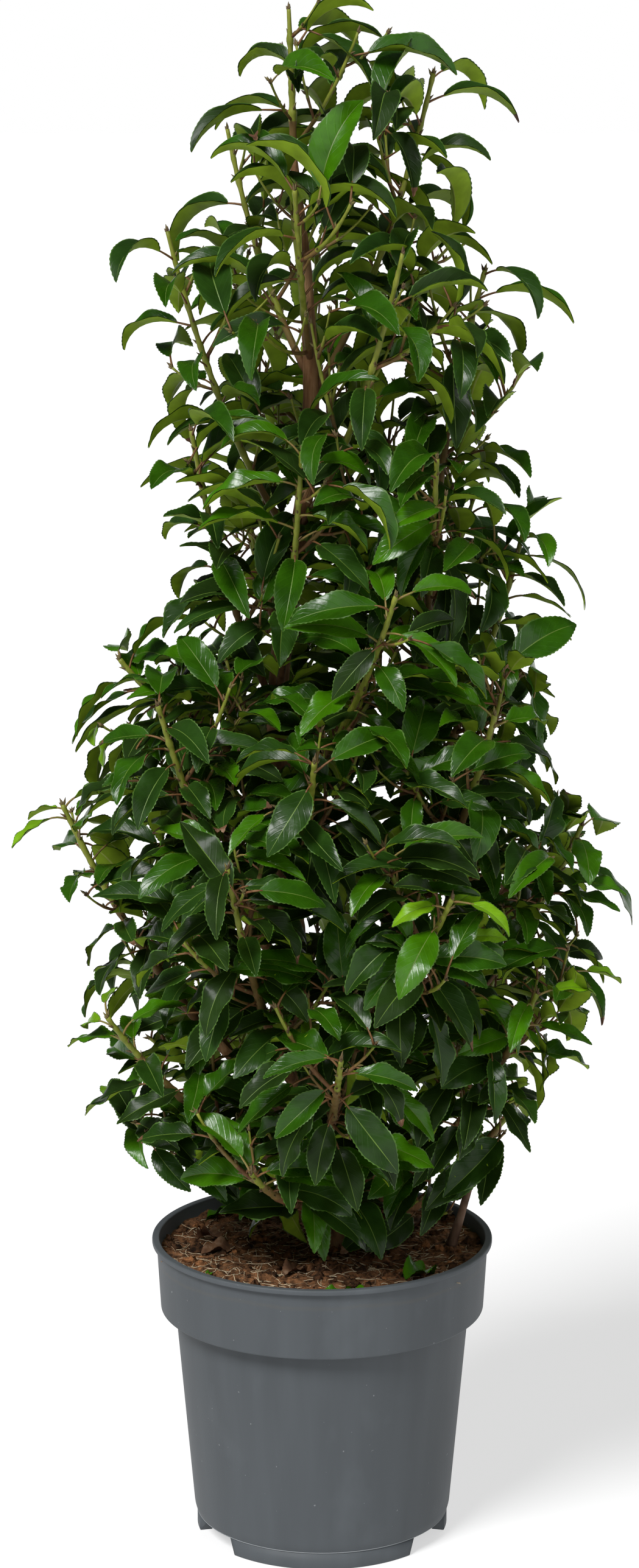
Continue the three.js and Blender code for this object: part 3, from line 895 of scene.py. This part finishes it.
MATERIALS = {
    leaf_top: {
        # the darkest green, dealt out most high up: partly the old leaves' dull green, partly painted shade
        "leaf_dull": ((0.0115, 0.0285, 0.0036), 0.42, 0.1),
        "leaf_dark": ((0.0132, 0.040, 0.004), 0.31, 0.19),
        "leaf_mid": ((0.0175, 0.066, 0.0015), 0.26, 0.26),
        "leaf_fresh": ((0.033, 0.115, 0.001), 0.25, 0.29),
        "leaf_young": ((0.120, 0.255, 0.004), 0.34, 0.3),
    },
    leaf_plain: {
        "leaf_rib": ((0.08, 0.14, 0.018), 0.5, 0.35),
        # thin pale edge: partly the margin's own paler green, partly painted light shining through the thin
        # rim
        "leaf_edge": ((0.043, 0.102, 0.009), 0.5, 0.35),
        # pale olive underside: partly its own paler green, partly painted light shining through the leaf
        "leaf_underside": ((0.182, 0.278, 0.016), 0.62, 0.08),
        "leaf_lower_rib": ((0.25, 0.31, 0.05), 0.6, 0.35),
    },
    leaf_withered: {"leaf_dry": ((0.05, 0.022, 0.012), (0.13, 0.062, 0.03), (0.26, 0.17, 0.11))},
    rind: {
        "petiole_red": ((0.115, 0.048, 0.018), (0.19, 0.1, 0.036), 0.5),
        "petiole_olive": ((0.17, 0.16, 0.035), (0.22, 0.125, 0.05), 0.5),
        "twig_green": ((0.125, 0.155, 0.012), (0.215, 0.23, 0.03), 0.5),
        "twig_olive": ((0.11, 0.08, 0.017), (0.165, 0.092, 0.03), 0.6),
        "twig_brown": ((0.08, 0.034, 0.012), (0.16, 0.08, 0.03), 0.7),
        "bud": ((0.08, 0.045, 0.025), (0.15, 0.13, 0.04), 0.6),
        "straw": ((0.34, 0.26, 0.16), (0.56, 0.47, 0.33), 0.7),
        "root": ((0.13, 0.075, 0.04), (0.26, 0.17, 0.1), 0.8),
    },
    bark: {
        "bark": ((0.05, 0.021, 0.008), (0.19, 0.092, 0.038), (0.36, 0.21, 0.105), 0.16),
        "dead_wood": ((0.05, 0.028, 0.018), (0.13, 0.075, 0.048), (0.24, 0.16, 0.11), 0.2),
    },
    # the second, paler plastic paints a highlight along the pot's mould line
    plastic: {"pot_plastic": (0.063, 0.071, 0.078), "pot_edge": (0.2, 0.215, 0.225)},
    peat: {
        "peat_dark": ((0.012, 0.006, 0.003), (0.092, 0.042, 0.019)),
        "peat_brown": ((0.02, 0.009, 0.004), (0.187, 0.085, 0.037)),
        "peat_orange": ((0.06, 0.025, 0.01), (0.32, 0.138, 0.055)),
    },
}
PAINTS = {name: make(name, *looks) for make, table in MATERIALS.items() for name, looks in table.items()}


# Meshes from arrays


def placed(name, data):
    made = bpy.data.objects.new(name, data)
    bpy.context.scene.collection.objects.link(made)
    return made


def joined(name, vertices, triangles, paints, kinds=0, layout=None):
    """One object from copies (copy, vertex, place) of a form with those triangles.

    `kinds` gives the paint of each copy's triangles and `layout` the place of each vertex on the form.
    """
    count, size = vertices.shape[:2]
    faces = (triangles[None] + np.arange(count)[:, None, None] * size).reshape(-1, 3)
    mesh = bpy.data.meshes.new(name)
    mesh.vertices.add(count * size)
    mesh.vertices.foreach_set("co", (vertices * MM).astype(np.float32).ravel())
    mesh.loops.add(faces.size)
    mesh.loops.foreach_set("vertex_index", faces.astype(np.int32).ravel())
    mesh.polygons.add(len(faces))
    mesh.polygons.foreach_set("loop_start", np.arange(0, faces.size, 3, dtype=np.int32))
    marks = np.broadcast_to(kinds, (count, len(triangles))).astype(np.int32)
    mesh.polygons.foreach_set("material_index", np.ascontiguousarray(marks).ravel())
    mesh.polygons.foreach_set("use_smooth", np.ones(len(faces), bool))
    for paint in paints:
        mesh.materials.append(PAINTS[paint])
    mesh.update(calc_edges=True)
    if layout is not None:
        places = np.tile(layout, (count, 1))[faces.ravel()]
        mesh.uv_layers.new(name="layout").data.foreach_set("uv", places.astype(np.float32).ravel())
    mesh.validate()
    made = placed(name, mesh)
    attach(made, "root")
    return made


def grid_triangles(rows, columns, wrap=False, first=0):
    """Triangles of a grid of vertices, counted row by row, facing up where rows go ahead, columns left."""
    cells = columns if wrap else columns - 1
    row, column = np.meshgrid(np.arange(rows - 1), np.arange(cells), indexing="ij")
    after = (column + 1) % columns
    a, b = row * columns + column, row * columns + after
    c, d = a + columns, b + columns
    return np.concatenate([np.stack([a, c, d], -1), np.stack([a, d, b], -1)], -1).reshape(-1, 3) + first


def tubes(centres, radii, sides):
    """Vertices of closed tubes along lines of centres (tube, ring, place), and the triangles of one."""
    count, rings = centres.shape[:2]
    along = unit(np.gradient(centres, axis=1))
    reference = np.eye(3)[np.argmin(np.abs(along.mean(axis=1)), axis=1)][:, None]
    side = unit(np.cross(along, reference))
    over = np.cross(along, side)
    angles = np.linspace(0, FULL_TURN, sides, endpoint=False)[:, None]
    circle = np.cos(angles) * side[:, :, None] + np.sin(angles) * over[:, :, None]
    radii = radii if radii.ndim == 3 else radii[..., None]
    wall = (centres[:, :, None] + radii[..., None] * circle).reshape(count, rings * sides, 3)
    vertices = np.concatenate([wall, centres[:, :1], centres[:, -1:]], axis=1)
    start, end = rings * sides, rings * sides + 1
    ring = np.arange(sides)
    after = (ring + 1) % sides
    last = (rings - 1) * sides
    foot = np.stack([np.full(sides, start), after, ring], -1)
    tip = np.stack([np.full(sides, end), last + ring, last + after], -1)
    wall_faces = grid_triangles(rings, sides, wrap=True)[:, ::-1]
    return vertices, np.concatenate([wall_faces, foot, tip])


# Leaf meshes


def margin_triangles(edge, rim):
    """Triangles from the last column of a blade's right half out to its toothed rim."""
    half = CELL_STEPS // 2
    made = []
    for cell in range(LEAF_CELLS):
        low, high = edge[cell], edge[cell + 1]
        first = cell * CELL_STEPS
        made += [(low, rim[first + i], rim[first + i + 1]) for i in range(half)]
        made += [(low, rim[first + half], high)]
        made += [(high, rim[first + i], rim[first + i + 1]) for i in range(half, CELL_STEPS)]
    return np.array(made)


def blade_grid(columns, first):
    """Triangles of one side of a blade, the cell of each along the blade, and whether it is on the rib."""
    triangles = grid_triangles(LEAF_CELLS + 1, len(columns), first=first)
    strip = np.tile(np.repeat(np.arange(len(columns) - 1), 2), LEAF_CELLS)
    cell = np.repeat(np.arange(LEAF_CELLS), 2 * (len(columns) - 1))
    on_rib = (columns[:-1] * columns[1:] < 0)[strip]
    real = (np.diff(columns) > 0)[strip]
    return triangles[real], cell[real], on_rib[real]


def leaf_form():
    """Triangles of one leaf, with the part that each belongs to and its cell along the blade."""
    inner = np.arange(LEAF_CELLS + 1) * len(UPPER_COLUMNS)
    right_rim = (LEAF_CELLS + 1) * len(UPPER_COLUMNS) + np.arange(LEAF_STEPS + 1)
    left_rim = right_rim + LEAF_STEPS + 1
    upper, upper_cell, upper_rib = blade_grid(UPPER_COLUMNS, 0)
    lower, lower_cell, lower_rib = blade_grid(LOWER_COLUMNS, left_rim[-1] + 1)
    right = margin_triangles(inner, right_rim)
    left = margin_triangles(inner + len(UPPER_COLUMNS) - 1, left_rim)
    edge_cell = np.repeat(np.arange(LEAF_CELLS), CELL_STEPS + 1)
    triangles = np.concatenate([upper, right, left[:, ::-1], lower[:, ::-1]])
    above, below = np.where(upper_rib, RIB, BLADE), np.where(lower_rib, LOWER_RIB, UNDERSIDE)
    part = np.concatenate([above, np.full(2 * len(edge_cell), EDGE), below])
    cell = np.concatenate([upper_cell, edge_cell, edge_cell, lower_cell])
    return triangles, part, cell


def leaf_layout():
    """Place of each vertex of a leaf on its blade: from edge to edge, and from base to tip."""
    shares = np.linspace(0, 1, LEAF_CELLS + 1)
    places = [(u, v) for v in shares for u in UPPER_COLUMNS]
    places += [(side, v) for side in (-1, 1) for v in np.linspace(0, 1, LEAF_STEPS + 1)]
    places += [(u, v) for v in shares for u in LOWER_COLUMNS]
    return np.array(places)


def leaf_vertices(leaves):
    """Vertices of whole leaves (leaf, vertex, place): upper side, two toothed rims, lower side."""
    rows = np.arange(0, LEAF_STEPS + 1, CELL_STEPS)
    steps = np.arange(LEAF_STEPS + 1)
    depth = np.where(np.abs(LOWER_COLUMNS) < 0.1, RIB_DEPTH, BLADE_THICKNESS)
    upper = blade_points(leaves, rows, UPPER_COLUMNS)
    rims = blade_points(leaves, steps, (-1.0, 1.0), teeth=TOOTH_HEIGHT * (steps % 2)).transpose(0, 2, 1, 3)
    lower = blade_points(leaves, rows, LOWER_COLUMNS, sink=depth)
    return np.concatenate([side.reshape(len(leaves), -1, 3) for side in (upper, rims, lower)], axis=1)


def leaf_piece(name, leaves):
    triangles, part, cell = leaf_form()
    tint = gather(leaves, "tint").astype(int)[:, None]
    withered = gather(leaves, "dry").astype(bool)[:, None] & (cell[None] == LEAF_CELLS - 1)
    kinds = np.where(withered, DRY, np.where(part[None] == BLADE, tint, part[None]))
    paints = [f"leaf_{key}" for key in LEAF_PAINTS]
    return joined(name, leaf_vertices(leaves), triangles, paints, kinds, leaf_layout())


def petiole_piece(name, leaves):
    fields = ("root", "knee", "base", "heading")
    root, knee, base, ahead = (gather(leaves, field)[:, None] for field in fields)
    line = bezier(root, knee, base + ahead * PETIOLE_END)
    centres = line(np.linspace(0, 1, len(PETIOLE_RADII)))
    kinds = (gather(leaves, "tint") >= TINTS.index("fresh")).astype(int)[:, None]
    radii = np.tile(PETIOLE_RADII, (len(leaves), 1))
    return joined(name, *tubes(centres, radii, 4), ["petiole_red", "petiole_olive"], kinds)


# Limb meshes


def limb_rings(limbs, count, swelling, width):
    """Centres and radii of the limbs' rings, thicker at the joints where leaves and twigs stand."""
    shares = np.linspace(0, 1, count)
    radii = []
    for limb in limbs:
        reach = width / limb.length()
        bulges = [swelling * np.exp(-(((shares - joint) / reach) ** 2)) for joint in limb.joints]
        radii.append(sum(bulges, limb.radius_at(shares)))
    return np.array([limb.point(shares) for limb in limbs]), np.array(radii)


def twig_piece(name, limbs, rings, sides, swelling, greening):
    """Joined twigs: brown at the foot, then olive, then green towards the tip."""
    vertices, triangles = tubes(*limb_rings(limbs, rings, swelling, TWIG_JOINT), sides)
    ring = np.minimum(triangles.min(axis=1) // sides, rings - 1) / (rings - 1)
    kinds = sum((ring > limit).astype(int) for limit in greening)
    return joined(name, vertices, triangles, ["twig_brown", "twig_olive", "twig_green"], kinds[None])


def bud_piece(name, limbs):
    """Pointed buds: three round each tip, and one over each leaf."""
    buds = []
    for limb in limbs:
        tip, tangent = limb.point(1.0), limb.tangent(1.0)
        for i, length in enumerate(TIP_BUDS):
            slant = math.radians(TIP_BUD_SLANT * (i + 1))
            buds.append((tip - tangent, turned_aside(tangent, i * GOLDEN_ANGLE, slant), length))
        for i, along in enumerate(limb.joints):
            start = limb.point(along + SIDE_BUD_RISE / limb.length())
            heading = turned_aside(limb.tangent(along), i * GOLDEN_ANGLE, math.radians(SIDE_BUD_SLANT))
            buds.append((start, heading, SIDE_BUD + limb.radius[0]))
    starts, headings, lengths = (np.array(column) for column in zip(*buds))
    shares, radii = np.array(BUD_SHAPE).T
    reach = lengths[:, None] * shares
    centres = starts[:, None] + headings[:, None] * reach[..., None]
    return joined(name, *tubes(centres, np.tile(radii, (len(buds), 1)), 4), ["bud"])


def bark_relief(points, radius, seed):
    """How far bark stands out from the round of a limb: long ridges, knots and fine flakes."""
    made = np.zeros(len(points))
    for i, (x, y, z) in enumerate(points):
        ridges = noise.noise(Vector((x * 0.22 + seed, y * 0.22, z * 0.035)))
        knots = noise.noise(Vector((x * 0.06, y * 0.06 + seed, z * 0.075)))
        flakes = noise.noise(Vector((x * 0.5, y * 0.5, z * 0.3 + seed)))
        made[i] = 0.075 * ridges + 0.13 * max(knots, 0.0) + 0.045 * flakes
    return made * radius


def bark_piece(name, limbs, rings, sides, swelling, paint):
    """Joined limbs with the relief of their bark in the mesh."""
    centres, radii = limb_rings(limbs, rings, swelling, BOUGH_JOINT)
    smooth, _ = tubes(centres, radii, sides)
    relief = []
    for i, (wall, radius) in enumerate(zip(smooth[:, : rings * sides], radii)):
        relief.append(bark_relief(wall, np.repeat(radius, sides), i * BARK_SEED).reshape(rings, sides))
    return joined(name, *tubes(centres, radii[..., None] + np.array(relief), sides), [paint])


# Pot and soil meshes


def rounded(profile):
    """A line of radius, height and rounding with its corners rounded off."""
    made = []
    for i, (radius, height, rounding) in enumerate(profile):
        corner = np.array([radius, height])
        if rounding == 0:
            made.append(corner)
            continue
        before = np.array(profile[i - 1][:2]) - corner
        after = np.array(profile[i + 1][:2]) - corner
        arc = bezier(corner + unit(before) * rounding, corner, corner + unit(after) * rounding)
        made += list(arc(np.linspace(0, 1, 6)))
    return np.array(made)


def turned(profile, segments):
    """Vertices of a profile of radius and height turned about the pot's axis (row by row), and triangles."""
    angles = np.linspace(0, FULL_TURN, segments, endpoint=False)
    circle = np.stack([np.cos(angles), np.sin(angles)], -1)
    rings = profile[:, None, :1] * circle[None]
    heights = np.broadcast_to(profile[:, None, 1:], (len(profile), segments, 1))
    vertices = np.concatenate([rings, heights], -1).reshape(1, -1, 3)
    return vertices, grid_triangles(len(profile), segments, wrap=True)[:, ::-1]


def pot_profile():
    collar_foot = POT_HEIGHT - COLLAR_HEIGHT
    collar_top = POT_HEIGHT - LIP_HEIGHT
    return rounded(
        [
            (0.01, FOOT_HEIGHT, 0),
            (FOOT_RADIUS, FOOT_HEIGHT, 0.8),
            (BODY_BASE_RADIUS, FOOT_HEIGHT + BASE_RISE, 3.0),
            (BODY_TOP_RADIUS, collar_foot, 0.8),
            (COLLAR_FOOT_RADIUS, collar_foot, 1.6),
            (COLLAR_TOP_RADIUS, collar_top, 0.7),
            (LIP_RADIUS, collar_top, 1.0),
            (LIP_RADIUS, POT_HEIGHT, 1.4),
            (INSIDE_RADIUS + 0.4, POT_HEIGHT, 1.2),
            (INSIDE_RADIUS - 2.0, INSIDE_FLOOR, 0),
            (0.01, INSIDE_FLOOR, 0),
        ]
    )


def feet_piece():
    """Feet: a section of radius and height swept round the pot between the gaps, which widen downwards."""
    inner, top = FOOT_RADIUS - FOOT_WIDTH, FOOT_HEIGHT + 0.2
    section = [
        (inner, top), (inner, 0.8), (inner + 0.8, 0.0), (FOOT_RADIUS - 0.9, 0.0),
        (FOOT_RADIUS - 0.25, 0.25), (FOOT_RADIUS, 0.9), (FOOT_RADIUS, top),
    ]
    size = len(section)
    radii, heights = np.array(section).T
    gap = FOOT_RADIUS * math.tan(math.radians(FOOT_GAP_ANGLE / 2))
    gaps = np.arcsin((gap + FOOT_END_SLOPE * (FOOT_HEIGHT - heights)) / FOOT_RADIUS)
    middles = np.radians(90 + (np.arange(FOOT_COUNT) + 0.5) * 360 / FOOT_COUNT)[:, None, None]
    angles = middles + np.linspace(-1, 1, FOOT_RINGS)[:, None] * (math.pi / FOOT_COUNT - gaps)
    places = [radii * np.cos(angles), radii * np.sin(angles), np.broadcast_to(heights, angles.shape)]
    vertices = np.stack(places, -1).reshape(FOOT_COUNT, -1, 3)
    wall = grid_triangles(FOOT_RINGS, size, wrap=True)
    fan = np.array([(0, i, i + 1) for i in range(1, size - 1)])
    ends = np.concatenate([fan, fan[:, ::-1] + (FOOT_RINGS - 1) * size])
    return joined("pot_feet", vertices, np.concatenate([wall, ends]), ["pot_plastic"])


def pot_pieces():
    pot = joined("pot_body", *turned(pot_profile(), POT_SEGMENTS), ["pot_plastic"])
    ring = np.linspace(0, FULL_TURN, 9)
    bead = BEAD_RADIUS * np.stack([np.cos(ring), np.sin(ring)], -1) + (FOOT_RADIUS + 0.05, FOOT_HEIGHT + 0.5)
    # the mould line's bead gets the paler plastic: a painted highlight along its ridge
    seam = joined("pot_mould_line", *turned(bead, POT_SEGMENTS), ["pot_edge"])
    feet = feet_piece()
    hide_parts("pot")


def soil_height(x, y):
    """Height of the peat: a low mound round the stems, swells, clods and crumbs."""
    radius = math.hypot(x, y)
    height = GROUND + (MOUND_HEIGHT * math.exp(-((radius / MOUND_RADIUS) ** 2)) - SOIL_SINK)
    for rise, pitch, seed in SOIL_NOISES:
        height += rise * noise.noise(Vector((x * pitch, y * pitch, seed)))
    return height


def soil_surface():
    rings, segments = SOIL_GRID
    profile = np.stack([np.linspace(INSIDE_RADIUS - 0.6, 0.05, rings), np.zeros(rings)], -1)
    vertices, triangles = turned(profile, segments)
    for place in vertices[0]:
        place[2] = soil_height(place[0], place[1])
    soil = joined("soil_surface", vertices, triangles, ["peat_brown"])
    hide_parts("soil")
    return soil


def spots_on_soil(count, random, margin):
    """Places strewn evenly over the peat, on its surface."""
    made = []
    for i in range(count):
        radius = (INSIDE_RADIUS - margin) * math.sqrt((i + random()) / count)
        angle = i * GOLDEN_ANGLE + random.spread(0.4)
        x, y = radius * math.cos(angle), radius * math.sin(angle)
        made.append((x, y, soil_height(x, y)))
    return np.array(made)


def crumb_piece():
    """Lumps of peat of several browns: rough little balls, half sunk."""
    random = Seeded(SEED + 100)
    spots = spots_on_soil(CRUMB_COUNT, random, 4.0)
    latitudes = np.linspace(-0.5, 0.5, 5) * math.pi * 0.98
    (ball,), triangles = turned(np.stack([np.cos(latitudes), np.sin(latitudes)], -1), 7)
    paints = ["peat_dark", "peat_brown", "peat_orange"]
    vertices, kinds = [], []
    for spot in spots:
        size = mix(*CRUMB_SIZE, random() ** 4)
        rough = np.array([1 + random.spread(CRUMB_ROUGHNESS) for _ in ball])[:, None]
        across = [random.between(*CRUMB_STRETCH) for _ in range(2)]
        stretch = np.array([*across, CRUMB_STRETCH[0]])
        vertices.append(spot + ball * rough * size * stretch)
        kinds.append([int(len(paints) * random() ** 1.6)])
    return joined("soil_crumbs", np.array(vertices), triangles, paints, np.array(kinds))


def fibre_piece():
    """Pale roots and straws lying on the peat."""
    random = Seeded(SEED + 200)
    spots = spots_on_soil(FIBRE_COUNT, random, 6.0)
    t = np.linspace(-0.5, 0.5, len(FIBRE_RADII))
    centres, kinds = [], []
    for spot in spots:
        length = mix(*FIBRE_LENGTH, random() ** 1.6)
        turn = random() * FULL_TURN + random.spread(FIBRE_CURVE) * t
        line = spot[None] + length * np.stack([t * np.cos(turn), t * np.sin(turn), 0 * t], -1)
        tilt = random.spread(FIBRE_TILT)
        for i, place in enumerate(line):
            place[2] = max(soil_height(place[0], place[1]) + 0.3, spot[2] + tilt * length * t[i])
        centres.append(line)
        kinds.append([int(random() < ROOT_SHARE)])
    radii = np.tile(FIBRE_RADII, (len(spots), 1))
    return joined("soil_fibres", *tubes(np.array(centres), radii, 4), ["straw", "root"], np.array(kinds))


def fallen_leaf(x, y, heading, length, width, bend):
    """A fallen leaf lying on the peat."""
    base = np.array([x, y, soil_height(x, y) + 2.5])
    ahead = np.array([math.cos(heading), math.sin(heading), 0.12])
    return Leaf(
        root=base, knee=base, base=base, heading=unit(ahead), face=UP, length=length, width=width,
        bend=bend, fold=0.5, curl=-0.1, wave=0.3, phase=x * 0.1, sweep=0.25, twist=0.5, tint=0, dry=False,
    )


def litter_piece(kind, paint):
    leaves = [fallen_leaf(*row) for row in FALLEN_LEAVES[kind]]
    return joined(f"litter_{kind}", leaf_vertices(leaves), leaf_form()[0], [paint], 0, leaf_layout())


def soil_pieces():
    for piece in (soil_surface(), crumb_piece(), fibre_piece()):
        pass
    for piece in (litter_piece("dry", "leaf_dry"), litter_piece("green", "leaf_fresh")):
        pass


# Plant


def plant_pieces():
    stems = {}
    for name, (course, radius, flare, _) in STEMS.items():
        stems[name] = Limb(course_line(course), radius, flare=flare)
    shoots = lay_out_shoots(stems)
    leaves = grow_crown(shoots, stems)
    stem_pieces(stems, shoots)
    for zone, tiers in ZONES.items():
        zone_pieces(zone, [shoot for shoot in shoots if shoot.tier in tiers], leaves)


def stem_pieces(stems, shoots):
    for name, stem in stems.items():
        dead = name == "pruned_stub"
        piece = bark_piece(f"{name}_bark", [stem], *STEMS[name][-1], 0.0, "dead_wood" if dead else "bark")
        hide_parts(name)
    boughs = [shoot for shoot in shoots if shoot.bough]
    limbs = [shoot.bough for shoot in boughs]
    piece = bark_piece("boughs_bark", limbs, *BOUGH_GRID, BOUGH_SWELLING, "bark")
    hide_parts(*[shoot.bough_node for shoot in boughs])


def zone_pieces(zone, shoots, leaves):
    """The sprays of one zone of the crown, each kind of thing joined apart."""
    grown = [leaf for shoot in shoots for leaf in leaves[shoot.node]]
    pieces = [leaf_piece(f"leaves_{zone}", grown), petiole_piece(f"petioles_{zone}", grown)]
    budding = []
    for kind, mesh in TWIG_MESHES.items():
        limbs = [limb for shoot in shoots for limb in shoot.limbs[kind] if limb.joints]
        pieces.append(twig_piece(f"{kind}_{zone}", limbs, *mesh, BROWN_SHARES[zone]))
        budding += limbs
    pieces.append(bud_piece(f"buds_{zone}", budding))
    for piece in pieces:
        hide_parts(*[shoot.node for shoot in shoots])


# Stage


def add_camera():
    data = bpy.data.cameras.new("camera")
    data.sensor_width = 36.0
    data.lens = 81.56
    camera = placed("camera", data)
    camera.location = (-0.002, -2.6, 1.108)
    downward = 11.4
    camera.rotation_euler = (math.radians(90 - downward), 0.0, 0.0)
    bpy.context.scene.camera = camera


def add_sun(name, strength, angle, direction, glossy=True):
    data = bpy.data.lights.new(name, "SUN")
    data.energy = strength
    data.angle = math.radians(angle)
    sun = placed(name, data)
    sun.rotation_euler = (-Vector(direction)).to_track_quat("-Z", "Y").to_euler()
    sun.visible_glossy = glossy


def add_floor():
    reach = 60.0
    mesh = bpy.data.meshes.new("floor")
    corners = [(-reach, -reach, 0), (reach, -reach, 0), (reach, reach, 0), (-reach, reach, 0)]
    mesh.from_pydata(corners, [], [(0, 1, 2, 3)])
    floor = placed("floor", mesh)
    paint = Material("floor", grey(0.4), 0.9, 0.1)
    paint.set("Emission Color", grey(1.0))
    paint.set("Emission Strength", 0.57)
    mesh.materials.append(paint.data)


def add_light():
    """A soft key from the upper left, weaker light from the right and behind, a white band at eye level."""
    world = bpy.data.worlds.new("world")
    sky = Nodes(world)
    height = sky.parts(sky.place("Generated"))["Z"]
    dome = sky.ramp(height, (0.05, grey(1.0)), (0.1, grey(0.05)))
    sky.put(dome, sky.nodes["Background"].inputs["Color"])
    bpy.context.scene.world = world
    add_sun("key", 3.9, 22, (-0.5, -0.7, 1.0))
    add_sun("fill", 0.65, 50, (0.45, -0.8, 0.6))
    add_sun("back", 0.9, 50, (0.4, 0.9, 0.7), glossy=False)
    bpy.context.scene.view_settings.view_transform = "Standard"


def build():
    pot_pieces()
    soil_pieces()
    plant_pieces()
    add_floor()
    add_light()
    add_camera()
    bpy.context.view_layer.update()


build()
